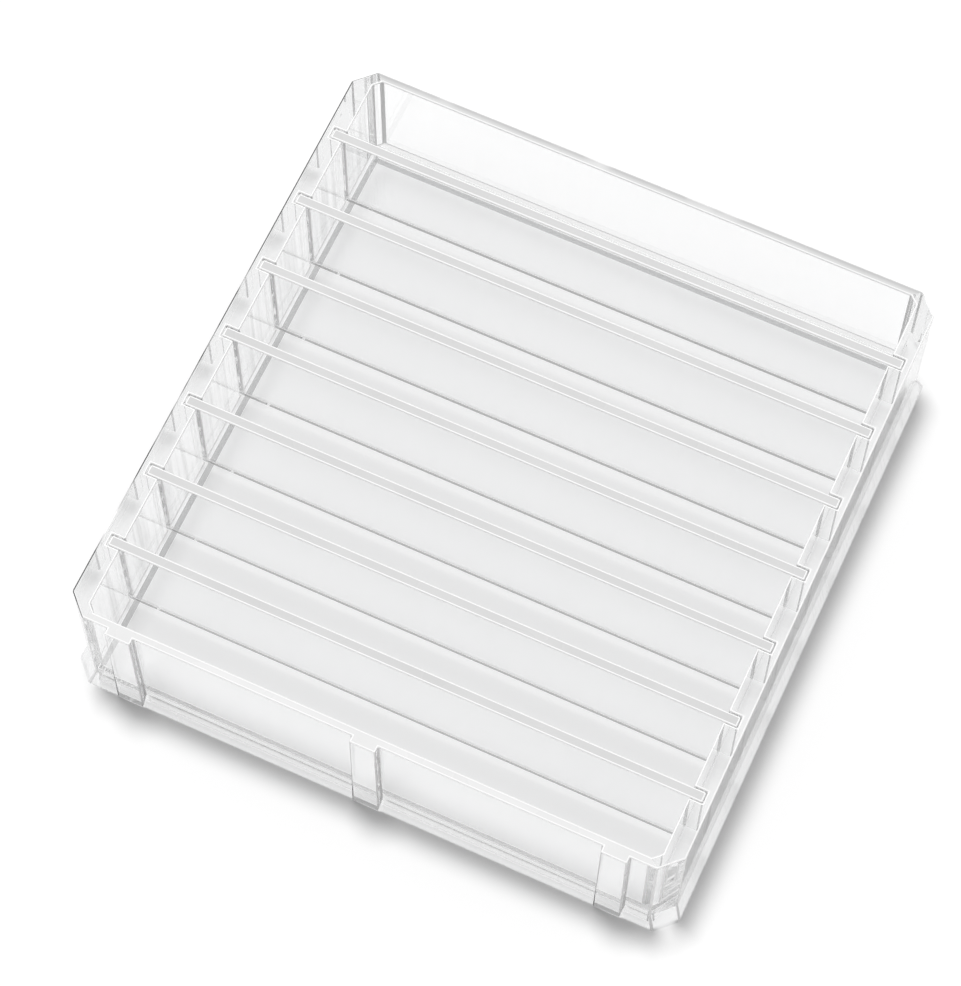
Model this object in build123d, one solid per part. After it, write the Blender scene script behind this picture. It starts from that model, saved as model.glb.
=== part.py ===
from build123d import *
import os

# Clear acrylic tray with seven lift-out dividers that stand flat cases on edge.
# X runs along the dividers, Y from front to back and Z up from the table, all in millimetres.

# Side walls and end walls
tray_width = 250.0
corner_chamfer = 8.0
slot_depth = 5.5
slot_skin = 2.9
end_wall_thickness = 3.3

# Heights
underside_height = 11.5
floor_thickness = 5.0
compartment_depth = 49.5

# Base that slopes outwards from the foot of the walls
base_height = 9.0
base_overhang = 2.7

# Dividers and the spaces between them
divider_count = 7
divider_thickness = 4.2
divider_space = 28.0
end_space = 27.0
divider_drop = 0.4
slot_side_clearance = 0.4
slot_end_clearance = 0.4

# Front posts and the strips in the inner corners
post_width = 10.6
post_inset = 10.7
corner_strip_leg = 3.0

# Places worked out from the sizes above
side_wall_thickness = slot_depth + slot_skin
inner_width = tray_width - 2 * side_wall_thickness
divider_pitch = divider_thickness + divider_space
inner_depth = divider_count * divider_pitch - divider_space + 2 * end_space
tray_depth = inner_depth + 2 * end_wall_thickness
base_width = tray_width + 2 * base_overhang
base_depth = tray_depth + 2 * base_overhang
floor_top = underside_height + floor_thickness
tray_height = floor_top + compartment_depth
slot_width = divider_thickness + 2 * slot_side_clearance
slot_reach = inner_width / 2 + slot_depth
divider_reach = slot_reach - slot_end_clearance
divider_top = tray_height - divider_drop
first_divider = -inner_depth / 2 + end_space + divider_thickness / 2
divider_places = [first_divider + index * divider_pitch for index in range(divider_count)]
outer_post = tray_width / 2 - corner_chamfer - post_inset - post_width / 2
post_places = {"left": -outer_post, "middle": 0, "right": outer_post}


def block(x_range, y_range, z_range):
    """Straight block that fills a range along each axis."""
    ranges = (x_range, y_range, z_range)
    corner = [low for low, high in ranges]
    sizes = [high - low for low, high in ranges]
    return Pos(*corner) * Box(*sizes, align=Align.MIN)


def chamfered_outline(width, depth, height):
    """Flat rectangle with its four corners cut off, at a height above the table."""
    outline = Rectangle(width, depth)
    return Pos(0, 0, height) * chamfer(outline.vertices(), corner_chamfer)


def save(name, piece):
    """Write one piece to its own file."""
    export_step(piece, f"parts/{name}.step")


wall_heights = (base_height, tray_height)
base_heights = (0, base_height)
wall_foot = chamfered_outline(tray_width, tray_depth, base_height)
base_foot = chamfered_outline(base_width, base_depth, 0)
wall_outline = extrude(wall_foot, tray_height - base_height)
base_outline = loft([base_foot, wall_foot], ruled=True)


def right_side_wall():
    """Thick wall with a slot for each divider in its inner face, bevelled at both outer corners."""
    depth_range = (-tray_depth / 2, tray_depth / 2)
    wall = wall_outline & block((inner_width / 2, tray_width / 2), depth_range, wall_heights)
    for place in divider_places:
        slot_range = (place - slot_width / 2, place + slot_width / 2)
        wall -= block((inner_width / 2, slot_reach), slot_range, (floor_top, tray_height))
    return wall


def back_wall():
    """Thin wall between the two side walls."""
    depth_range = (inner_depth / 2, tray_depth / 2)
    return wall_outline & block((-inner_width / 2, inner_width / 2), depth_range, wall_heights)


def right_base_rail():
    """Rail under a side wall, as deep as the whole base, with a sloping outer face."""
    depth_range = (-base_depth / 2, base_depth / 2)
    return base_outline & block((inner_width / 2, base_width / 2), depth_range, base_heights)


def back_base_rail():
    """Rail under an end wall, between the two side rails, with a sloping outer face."""
    depth_range = (inner_depth / 2, base_depth / 2)
    return base_outline & block((-inner_width / 2, inner_width / 2), depth_range, base_heights)


def front_post(place):
    """Flat strip up the face of the front wall, from the table to the rim."""
    width_range = (place - post_width / 2, place + post_width / 2)
    return block(width_range, (-base_depth / 2, -tray_depth / 2), (0, tray_height))


def front_base_rail():
    """Rail under the front wall, notched so that the posts stand on the table."""
    rail = mirror(back_base_rail(), about=Plane.XZ)
    for place in post_places.values():
        rail -= front_post(place)
    return rail


def corner_strip(x_side, y_side):
    """Triangular strip standing on the floor in an inner corner."""
    x_corner = x_side * inner_width / 2
    y_corner = y_side * inner_depth / 2
    x_leg = (x_corner - x_side * corner_strip_leg, y_corner)
    y_leg = (x_corner, y_corner - y_side * corner_strip_leg)
    section = make_face(Polyline((x_corner, y_corner), x_leg, y_leg, close=True))
    return Pos(0, 0, floor_top) * extrude(section, compartment_depth, dir=(0, 0, 1))


def divider(place):
    """Plain upright panel with its ends in a pair of slots and its foot on the floor."""
    depth_range = (place - divider_thickness / 2, place + divider_thickness / 2)
    return block((-divider_reach, divider_reach), depth_range, (floor_top, divider_top))


os.makedirs("parts", exist_ok=True)

# Floor
inner_widths = (-inner_width / 2, inner_width / 2)
inner_depths = (-inner_depth / 2, inner_depth / 2)
save("floor_panel", block(inner_widths, inner_depths, (underside_height, floor_top)))

# Walls
save("right_side_wall", right_side_wall())
save("left_side_wall", mirror(right_side_wall(), about=Plane.YZ))
save("back_wall", back_wall())
save("front_wall", mirror(back_wall(), about=Plane.XZ))

# Base
save("right_base_rail", right_base_rail())
save("left_base_rail", mirror(right_base_rail(), about=Plane.YZ))
save("back_base_rail", back_base_rail())
save("front_base_rail", front_base_rail())

# Front posts
for post_name, post_place in post_places.items():
    save(f"{post_name}_front_post", front_post(post_place))

# Corner strips
for y_name, y_sign in (("front", -1), ("back", 1)):
    for x_name, x_sign in (("left", -1), ("right", 1)):
        save(f"{y_name}_{x_name}_corner_strip", corner_strip(x_sign, y_sign))

# Dividers, numbered from the front
for number, divider_place in enumerate(divider_places, start=1):
    save(f"divider_{number}", divider(divider_place))
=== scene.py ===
import bmesh
import bpy
import math
from mathutils import Matrix, Vector


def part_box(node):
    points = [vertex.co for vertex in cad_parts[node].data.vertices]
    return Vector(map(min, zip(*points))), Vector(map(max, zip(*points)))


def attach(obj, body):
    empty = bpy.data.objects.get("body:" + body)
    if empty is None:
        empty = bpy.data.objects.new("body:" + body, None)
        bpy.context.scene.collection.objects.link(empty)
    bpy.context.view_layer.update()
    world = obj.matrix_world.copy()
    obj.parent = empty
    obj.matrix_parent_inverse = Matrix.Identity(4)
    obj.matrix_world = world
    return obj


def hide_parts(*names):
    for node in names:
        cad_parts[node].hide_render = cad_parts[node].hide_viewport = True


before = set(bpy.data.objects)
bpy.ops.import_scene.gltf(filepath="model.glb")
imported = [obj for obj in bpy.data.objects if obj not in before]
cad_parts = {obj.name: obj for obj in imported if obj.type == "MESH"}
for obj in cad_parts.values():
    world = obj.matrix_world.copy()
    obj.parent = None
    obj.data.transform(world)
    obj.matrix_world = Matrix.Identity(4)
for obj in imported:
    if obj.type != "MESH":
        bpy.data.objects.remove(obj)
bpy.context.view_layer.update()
scene = bpy.context.scene

# Places in metres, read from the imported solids
DIVIDER_COUNT = 7
wall_low, wall_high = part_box("right_side_wall")
rail_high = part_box("right_base_rail")[1]
back_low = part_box("back_wall")[0]
floor_low, floor_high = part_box("floor_panel")
strip_low, strip_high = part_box("back_right_corner_strip")
posts = [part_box(f"{side}_front_post") for side in ("left", "middle", "right")]
dividers = [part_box(f"divider_{number}") for number in range(1, DIVIDER_COUNT + 1)]

OUTER_X, OUTER_Y = wall_high.x, wall_high.y
INNER_X, INNER_Y = wall_low.x, back_low.y
BASE_X, BASE_Y = rail_high.x, rail_high.y
BASE_TOP, RIM = wall_low.z, wall_high.z
FLOOR_BOTTOM, FLOOR_TOP = floor_low.z, floor_high.z
STRIP_LEG = strip_high.x - strip_low.x

# Sizes that no box gives: the cut corners, and the room round a divider's end in its slot
CORNER = 0.008
SLOT_GAP = 0.0004

# Rounded edges, and the film of air between a divider and the floor
EDGE_RADIUS = 0.0006
EDGE_SEGMENTS = 3
EDGE_ANGLE = math.radians(35)
FLAT_ANGLE = 0.01
AIR_FILM = 0.00005

# A piece's two materials, in the order of its slots
FACE, EDGE = 0, 1


def finished(bm, name):
    """Mesh with smooth faces and its edges marked for rounding, all but shallow bends and the foot."""
    rounding = bm.edges.layers.float.new("bevel_weight_edge")
    for edge in bm.edges:
        angle = edge.calc_face_angle(0)
        at_foot = max(vert.co.z for vert in edge.verts) < EDGE_RADIUS
        edge[rounding] = float(angle > EDGE_ANGLE and not at_foot)
        edge.smooth = edge[rounding] > 0 or angle < FLAT_ANGLE
    for face in bm.faces:
        face.smooth = True
    mesh = bpy.data.meshes.new(name)
    bm.to_mesh(mesh)
    bm.free()
    return mesh


def mirrored(outline):
    """The same outline on the other side of the middle plane, going round the same way."""
    return [(-x, y) for x, y in reversed(outline)]


def octagon(half_x, half_y):
    """Rectangle with cut corners, from the left end of its front edge, going to the right."""
    right = [(half_x - CORNER, -half_y), (half_x, CORNER - half_y),
             (half_x, half_y - CORNER), (half_x - CORNER, half_y)]
    left = mirrored(right)
    return left[3:] + right + left[:3]


def slotted_side():
    """Inner line of the right-hand wall with its slots, from front to back."""
    line = [(INNER_X - STRIP_LEG, -INNER_Y), (INNER_X, STRIP_LEG - INNER_Y)]
    for low, high in dividers:
        deep = high.x + SLOT_GAP
        near, far = low.y - SLOT_GAP, high.y + SLOT_GAP
        line += [(INNER_X, near), (deep, near), (deep, far), (INNER_X, far)]
    return line + [(INNER_X, INNER_Y - STRIP_LEG), (INNER_X - STRIP_LEG, INNER_Y)]


def tray_mesh():
    """The whole clear tray as one closed skin: walls, posts, slots, floor, base and hollow underside."""
    bm = bmesh.new()
    made = {}

    def corner(x, y, z):
        key = (round(x, 6), round(y, 6), round(z, 6))
        if key not in made:
            made[key] = bm.verts.new((x, y, z))
        return made[key]

    def flat(outline, z, material=FACE):
        face = bm.faces.new([corner(x, y, z) for x, y in outline])
        face.material_index = material

    def band(lower, upper, low, high):
        (a, b), (c, d) = lower, upper
        bm.faces.new([corner(*a, low), corner(*b, low), corner(*d, high), corner(*c, high)])

    wall, base = octagon(OUTER_X, OUTER_Y), octagon(BASE_X, BASE_Y)

    # Outside of the walls and the sloping base, all but the front
    for here in range(1, len(wall)):
        after = (here + 1) % len(wall)
        upper = (wall[here], wall[after])
        band(upper, upper, BASE_TOP, RIM)
        band((base[here], base[after]), upper, 0, BASE_TOP)

    # Front panels with the posts between them
    left_ends = [wall[0]] + [(high.x, -OUTER_Y) for low, high in posts]
    right_ends = [(low.x, -OUTER_Y) for low, high in posts] + [wall[1]]
    left_feet = [base[0]] + [(high.x, -BASE_Y) for low, high in posts]
    right_feet = [(low.x, -BASE_Y) for low, high in posts] + [base[1]]
    for upper, lower in zip(zip(left_ends, right_ends), zip(left_feet, right_feet)):
        band(upper, upper, BASE_TOP, RIM)
        band(lower, upper, 0, BASE_TOP)
    front_edge, front_foot = [wall[0]], [base[0]]
    for low, high in posts:
        face = ((low.x, -BASE_Y), (high.x, -BASE_Y))
        band(face, face, 0, RIM)
        for x in (low.x, high.x):
            bm.faces.new([corner(x, -BASE_Y, 0), corner(x, -OUTER_Y, BASE_TOP),
                          corner(x, -OUTER_Y, RIM), corner(x, -BASE_Y, RIM)])
        front_edge += [(low.x, -OUTER_Y), *face, (high.x, -OUTER_Y)]
        front_foot += face
    front_edge.append(wall[1])
    front_foot.append(base[1])

    # Rim
    side = slotted_side()
    rim_side = wall[1:5] + side[::-1]
    flat(front_edge + [side[0], mirrored(side)[-1]], RIM, EDGE)
    flat(wall[4:6] + [mirrored(side)[0], side[-1]], RIM, EDGE)
    flat(rim_side, RIM)
    flat(mirrored(rim_side), RIM)

    # Inside of the tray
    cavity = side + mirrored(side)
    for edge in zip(cavity, cavity[1:] + cavity[:1]):
        band(edge, edge, FLOOR_TOP, RIM)
    flat(cavity, FLOOR_TOP)

    # Underside
    hollow = [(-INNER_X, -INNER_Y), (INNER_X, -INNER_Y), (INNER_X, INNER_Y), (-INNER_X, INNER_Y)]
    for edge in zip(hollow, hollow[1:] + hollow[:1]):
        band(edge, edge, 0, FLOOR_BOTTOM)
    flat(hollow, FLOOR_BOTTOM)
    foot_side = base[1:5] + [hollow[2], hollow[1]]
    flat(front_foot + [hollow[1], hollow[0]], 0)
    flat(base[4:6] + [hollow[3], hollow[2]], 0)
    flat(foot_side, 0)
    flat(mirrored(foot_side), 0)

    bmesh.ops.recalc_face_normals(bm, faces=bm.faces)
    return finished(bm, "clear_tray")


def panel_mesh(name, low, high):
    """A divider's panel, just clear of the floor so that a thin film of air shows under it."""
    bm = bmesh.new()
    bmesh.ops.create_cube(bm, size=1.0)
    foot = low + Vector((0, 0, AIR_FILM))
    size = high - foot
    for vert in bm.verts:
        vert.co = Vector(foot[axis] + (vert.co[axis] + 0.5) * size[axis] for axis in range(3))
    for face in bm.faces:
        on_top = face.calc_center_median().z > high.z - EDGE_RADIUS
        face.material_index = EDGE if on_top else FACE
    return finished(bm, name)


def shown(name, mesh, face_material, edge_material):
    """Put a mesh in the scene with its edges rounded and its materials on."""
    piece = bpy.data.objects.new(name, mesh)
    scene.collection.objects.link(piece)
    mesh.materials.append(face_material)
    mesh.materials.append(edge_material)
    bevel = piece.modifiers.new("rounded_edges", "BEVEL")
    bevel.width = EDGE_RADIUS
    bevel.segments = EDGE_SEGMENTS
    bevel.limit_method = "WEIGHT"
    bevel.use_clamp_overlap = False
    bevel.loop_slide = False
    bevel.harden_normals = True
    bevel.material = EDGE
    return piece


class Shading:
    """A node tree that is put together with short calls."""

    def __init__(self, owner):
        owner.use_nodes = True
        self.tree = owner.node_tree
        self.tree.nodes.clear()

    def node(self, kind, **settings):
        made = self.tree.nodes.new(f"ShaderNode{kind}")
        for key, value in settings.items():
            setattr(made, key, value)
        return made

    def put(self, socket, value):
        """Set an input to a number or colour, or link it to another node's output."""
        if isinstance(value, bpy.types.NodeSocket):
            self.tree.links.new(value, socket)
        else:
            socket.default_value = value

    def feed(self, node, **values):
        """Fill a node's inputs by name, with an underscore for each space in the name."""
        for key, value in values.items():
            self.put(node.inputs[key.replace("_", " ")], value)
        return node

    def fill(self, node, *values):
        """Fill a node's inputs in their order."""
        for socket, value in zip(node.inputs, values):
            self.put(socket, value)
        return node

    def math(self, operation, *values):
        return self.fill(self.node("Math", operation=operation), *values).outputs["Value"]

    def noise(self, place, scale, detail, seed):
        made = self.node("TexNoise", noise_dimensions="4D")
        return self.feed(made, Vector=place, W=seed, Scale=scale, Detail=detail).outputs["Fac"]

    def stretched(self, place, scale, turn=(0, 0, 0)):
        return self.feed(self.node("Mapping"), Vector=place, Scale=scale, Rotation=turn).outputs["Vector"]

    def spread(self, value, given, wanted):
        """Turn a range of numbers into another, with what lies outside held at its ends."""
        made = self.feed(self.node("MapRange"), Value=value, From_Min=given[0], From_Max=given[1])
        return self.feed(made, To_Min=wanted[0], To_Max=wanted[1]).outputs["Result"]

    def blend(self, factor, start, end):
        made = self.node("Mix", data_type="RGBA")
        return self.feed(made, Factor=factor, A=start, B=end).outputs["Result"]

    def either(self, factor, first, second):
        """The first shader where the factor is 0, and the second where it is 1."""
        return self.fill(self.node("MixShader"), factor, first, second).outputs["Shader"]

    def finish(self, shader, kind="OutputMaterial"):
        self.feed(self.node(kind), Surface=shader)


def grey(level):
    return (level, level, level, 1)


# How acrylic bends light
IOR = 1.49

# Share of the lamp's light let through by outer and inner faces, and by level ones or from inside
TRAY_SHADES, DIVIDER_SHADES = (0.18, 0.85), (0.92, 0.92)
LEVEL_SHADE = 0.94

# How far in from the outside of the walls a face still counts as outer
OUTER_SKIN = 0.0015

# Roughness of the underside, and of the slanted corners and the sides of the posts
UNDERSIDE_ROUGHNESS, CUT_ROUGHNESS = 0.04, 0.07

# Share of a slanted corner's normal that points sideways, and how far off it still counts
SLANT, SLANT_MARGIN = 0.7, 0.2

# Tones of the clear faces and the streaks in them, and of the edges, whose white is a painted highlight
# and whose dark is also painted shade on the rim
PALE, DEEP = (0.988, 0.99, 0.992, 1), (0.968, 0.97, 0.973, 1)
STREAK = grey(0.25)
EDGE_WHITE, EDGE_DARK = grey(0.98), grey(0.06)
# How much painted shade the back rim gets at its outside
BACK_PAINTED_SHADE = 0.45

# Stretch of the noise for the streaks, and stretch and turn for the scratches
STREAK_STRETCH = (330, 330, 7)
SCRATCH_STRETCH, SCRATCH_TURN = (900, 40, 900), (0.3, 0.2, 0.9)


def seen_rays(tree):
    """One for the rays that show the background: from the camera, reflected or through the acrylic."""
    path = tree.node("LightPath")
    shiny = tree.math("MAXIMUM", path.outputs["Is Glossy Ray"], path.outputs["Is Transmission Ray"])
    return tree.math("MAXIMUM", path.outputs["Is Camera Ray"], shiny)


class Acrylic(Shading):
    """Start of a clear acrylic's tree: where a point is, how it faces, and what light it lets through."""

    def __init__(self, name, outer_shade, inner_shade):
        self.material = bpy.data.materials.new(name)
        super().__init__(self.material)
        self.place = self.node("TexCoord").outputs["Object"]
        point = self.feed(self.node("SeparateXYZ"), Vector=self.place)
        self.across, self.along = [self.math("ABSOLUTE", point.outputs[axis]) for axis in "XY"]
        self.leftward = self.math("MULTIPLY", point.outputs["X"], -1.0)
        self.depth, self.height = point.outputs["Y"], point.outputs["Z"]
        around = self.node("NewGeometry")
        normal = self.feed(self.node("SeparateXYZ"), Vector=around.outputs["True Normal"])
        self.sideways, self.level = [self.math("ABSOLUTE", normal.outputs[axis]) for axis in "XZ"]
        on_side = self.math("GREATER_THAN", self.across, OUTER_X - OUTER_SKIN)
        on_end = self.math("GREATER_THAN", self.along, OUTER_Y - OUTER_SKIN)
        shade = self.blend(self.math("MAXIMUM", on_side, on_end), grey(inner_shade), grey(outer_shade))
        unshaded = self.math("MAXIMUM", self.level, around.outputs["Backfacing"])
        passed = self.blend(unshaded, shade, grey(LEVEL_SHADE))
        self.clear = self.feed(self.node("BsdfTransparent"), Color=passed).outputs["BSDF"]

    def close(self, shader):
        """Finish with a shader that the camera sees, while light passes through to the floor."""
        path = self.node("LightPath")
        unseen = self.math("MAXIMUM", path.outputs["Is Shadow Ray"], path.outputs["Is Diffuse Ray"])
        self.finish(self.either(unseen, shader, self.clear))
        return self.material


def polished(name, shades, swell, streak, seed):
    """Clear polished acrylic: faint clouding, moulding waves, upright streaks and fine scratches."""
    tree = Acrylic(name, *shades)

    # Clouding, and streaks on the inner faces of the side walls
    cloud = tree.blend(tree.noise(tree.place, scale=14, detail=2, seed=seed), DEEP, PALE)
    upright = tree.noise(tree.stretched(tree.place, STREAK_STRETCH), scale=1, detail=2, seed=seed + 3)
    inside = tree.math("LESS_THAN", tree.across, INNER_X + EDGE_RADIUS)
    above = tree.math("GREATER_THAN", tree.height, FLOOR_TOP)
    where = tree.math("MULTIPLY", tree.math("MULTIPLY", inside, above), tree.sideways)
    drawn = tree.math("MULTIPLY", where, tree.spread(upright, (0.42, 0.7), (0.0, streak)))
    tint = tree.blend(drawn, cloud, STREAK)

    # Scratches, and a duller underside
    grain = tree.stretched(tree.place, SCRATCH_STRETCH, SCRATCH_TURN)
    hair = tree.noise(grain, scale=1, detail=3, seed=seed)
    scratch = tree.spread(hair, (0.72, 0.8), (0.0, 0.01))
    under = tree.math("LESS_THAN", tree.height, FLOOR_TOP - EDGE_RADIUS)
    dull = tree.math("MAXIMUM", scratch, tree.math("MULTIPLY", under, UNDERSIDE_ROUGHNESS))

    # Duller cut faces: the slanted corners and the sides of the posts
    slanted = tree.math("COMPARE", tree.sideways, SLANT, SLANT_MARGIN)
    in_front = tree.math("LESS_THAN", tree.depth, -OUTER_Y - EDGE_RADIUS / 2)
    facing_side = tree.math("GREATER_THAN", tree.sideways, SLANT + SLANT_MARGIN)
    cut = tree.math("MAXIMUM", slanted, tree.math("MULTIPLY", in_front, facing_side))
    rough = tree.math("MAXIMUM", dull, tree.math("MULTIPLY", cut, CUT_ROUGHNESS))

    # Moulding waves
    waves = tree.noise(tree.place, scale=45, detail=1, seed=seed + 5)
    moulded = tree.feed(tree.node("Bump"), Strength=1.0, Distance=swell, Height=waves)

    glass = tree.feed(tree.node("BsdfPrincipled"), Base_Color=tint, Transmission_Weight=1.0, IOR=IOR,
                      Roughness=rough, Normal=moulded.outputs["Normal"])
    return tree.close(glass.outputs["BSDF"])


def edges_with_painted_light(name, shades, top, seed):
    """Edges of the acrylic: rounded ones painted white as a highlight, flat tops greyer, and painted shade
    on the left and back rim.
    """
    tree = Acrylic(name, *shades)

    # Roundings painted white as a highlight, and greyer flat tops
    flat = tree.spread(tree.level, (0.97, 0.99), (0.0, 1.0))
    cloud = tree.spread(tree.noise(tree.place, scale=40, detail=1, seed=seed), (0.3, 0.7), (0.94, 1.0))
    face = tree.blend(cloud, EDGE_DARK, grey(top))
    edge_tone = tree.blend(flat, EDGE_WHITE, face)

    # Painted shade on the rim: along the left edge and the left cut corners, and fading in across the back
    # wall's top, in broken patches
    on_left = tree.math("GREATER_THAN", tree.leftward, OUTER_X - EDGE_RADIUS)
    on_back = tree.spread(tree.depth, (INNER_Y, OUTER_Y), (0.0, BACK_PAINTED_SHADE))
    cut = tree.math("ADD", tree.leftward, tree.along)
    on_corner = tree.math("GREATER_THAN", cut, OUTER_X + OUTER_Y - CORNER - EDGE_RADIUS)
    on_rim = tree.math("GREATER_THAN", tree.height, RIM - EDGE_RADIUS)
    outside = tree.math("MAXIMUM", tree.math("MAXIMUM", on_left, on_back), on_corner)
    shade_patches = tree.spread(tree.noise(tree.place, scale=35, detail=2, seed=seed + 4), (0.36, 0.5), (0.0, 1.0))
    painted_shade = tree.math("MULTIPLY", tree.math("MULTIPLY", outside, on_rim), shade_patches)
    tint = tree.blend(painted_shade, edge_tone, EDGE_DARK)

    # Uneven roughness of the edges
    uneven_roughness = tree.spread(tree.noise(tree.place, scale=60, detail=1, seed=seed + 2), (0.3, 0.7), (0.2, 0.35))
    edge = tree.feed(tree.node("BsdfPrincipled"), Base_Color=tint, IOR=IOR, Roughness=uneven_roughness)
    return tree.close(edge.outputs["BSDF"])


# Clear tray
tray_acrylic = polished("tray_acrylic", TRAY_SHADES, swell=0.00002, streak=0.6, seed=1.0)
tray_edge = edges_with_painted_light("tray_edge", TRAY_SHADES, top=0.8, seed=21.0)
tray = shown("clear_tray", tray_mesh(), tray_acrylic, tray_edge)
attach(tray, "tray")
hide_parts(*[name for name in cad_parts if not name.startswith("divider_")])

# Dividers, numbered from the front
divider_acrylic = polished("divider_acrylic", DIVIDER_SHADES, swell=0.00001, streak=0.0, seed=9.0)
divider_edge = edges_with_painted_light("divider_edge", DIVIDER_SHADES, top=0.66, seed=33.0)
for number, (low, high) in enumerate(dividers, start=1):
    name = f"divider_{number}"
    panel = shown(f"clear_{name}", panel_mesh(f"clear_{name}", low, high), divider_acrylic, divider_edge)
    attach(panel, name)
    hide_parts(name)

# White floor, not seen from below, that glows a little where it is looked at
FLOOR_REACH, FLOOR_DROP = 1.5, 0.0003
FLOOR_SIGNS = [(-1, -1), (1, -1), (1, 1), (-1, 1)]
FLOOR_PAINT, FLOOR_GLOW = grey(0.92), grey(0.04)
floor_corners = [(x * FLOOR_REACH, y * FLOOR_REACH, -FLOOR_DROP) for x, y in FLOOR_SIGNS]
floor_mesh = bpy.data.meshes.new("floor")
floor_mesh.from_pydata(floor_corners, [], [(0, 1, 2, 3)])
floor = bpy.data.objects.new("floor", floor_mesh)
scene.collection.objects.link(floor)
floor_white = bpy.data.materials.new("floor_white")
floor_mesh.materials.append(floor_white)
tree = Shading(floor_white)
paint = tree.feed(tree.node("BsdfDiffuse"), Color=FLOOR_PAINT)
glow = tree.feed(tree.node("Emission"), Color=FLOOR_GLOW, Strength=seen_rays(tree))
both = tree.fill(tree.node("AddShader"), paint.outputs["BSDF"], glow.outputs["Emission"])
below = tree.node("NewGeometry").outputs["Backfacing"]
tree.finish(tree.either(below, both.outputs["Shader"], tree.node("BsdfTransparent").outputs["BSDF"]))

# Surroundings: white low down and dimmer overhead where they are seen, and an even grey as light
SKY = [(0.0, 1.0), (0.3, 0.8), (0.6, 0.5), (0.85, 0.4)]
AMBIENT = grey(0.3)
world = bpy.data.worlds.new("studio")
scene.world = world
tree = Shading(world)
way = tree.feed(tree.node("SeparateXYZ"), Vector=tree.node("TexCoord").outputs["Generated"])
ramp = tree.feed(tree.node("ValToRGB"), Fac=way.outputs["Z"])
while len(ramp.color_ramp.elements) < len(SKY):
    ramp.color_ramp.elements.new(0.5)
for element, (at, level) in zip(ramp.color_ramp.elements, SKY):
    element.position = at
    element.color = grey(level)
shone = tree.blend(seen_rays(tree), AMBIENT, ramp.outputs["Color"])
sky = tree.feed(tree.node("Background"), Color=shone, Strength=1.0)
tree.finish(sky.outputs["Background"], "OutputWorld")

# Soft lamp overhead, which casts the shadow but isn't mirrored in the acrylic
lamp = bpy.data.lights.new("key", "AREA")
lamp.shape = "SQUARE"
lamp.size = 1.08
lamp.energy = 308
key = bpy.data.objects.new("key", lamp)
key.location = (-0.58, 0.58, 6.0)
key.rotation_euler = (-key.location).to_track_quat("-Z", "Y").to_euler()
key.visible_glossy = False
key.visible_transmission = False
scene.collection.objects.link(key)

# Enough bounces for light inside the acrylic, and plain colours
scene.cycles.max_bounces = 128
scene.cycles.transmission_bounces = 128
scene.cycles.glossy_bounces = 64
scene.cycles.transparent_max_bounces = 64
scene.view_settings.view_transform = "Standard"

# Camera at the photograph's angle
lens = bpy.data.cameras.new("camera")
lens.sensor_width = 36
lens.lens = 129.1
camera = bpy.data.objects.new("camera", lens)
right = Vector((0.90821, 0.41850, 0.00410))
up = Vector((-0.38437, 0.83016, 0.40385))
back = Vector((0.16561, -0.36836, 0.91481))
turn = Matrix((right, up, back)).transposed()
camera.matrix_world = Matrix.Translation((0.21849, -0.51383, 1.29049)) @ turn.to_4x4()
scene.collection.objects.link(camera)
scene.camera = camera
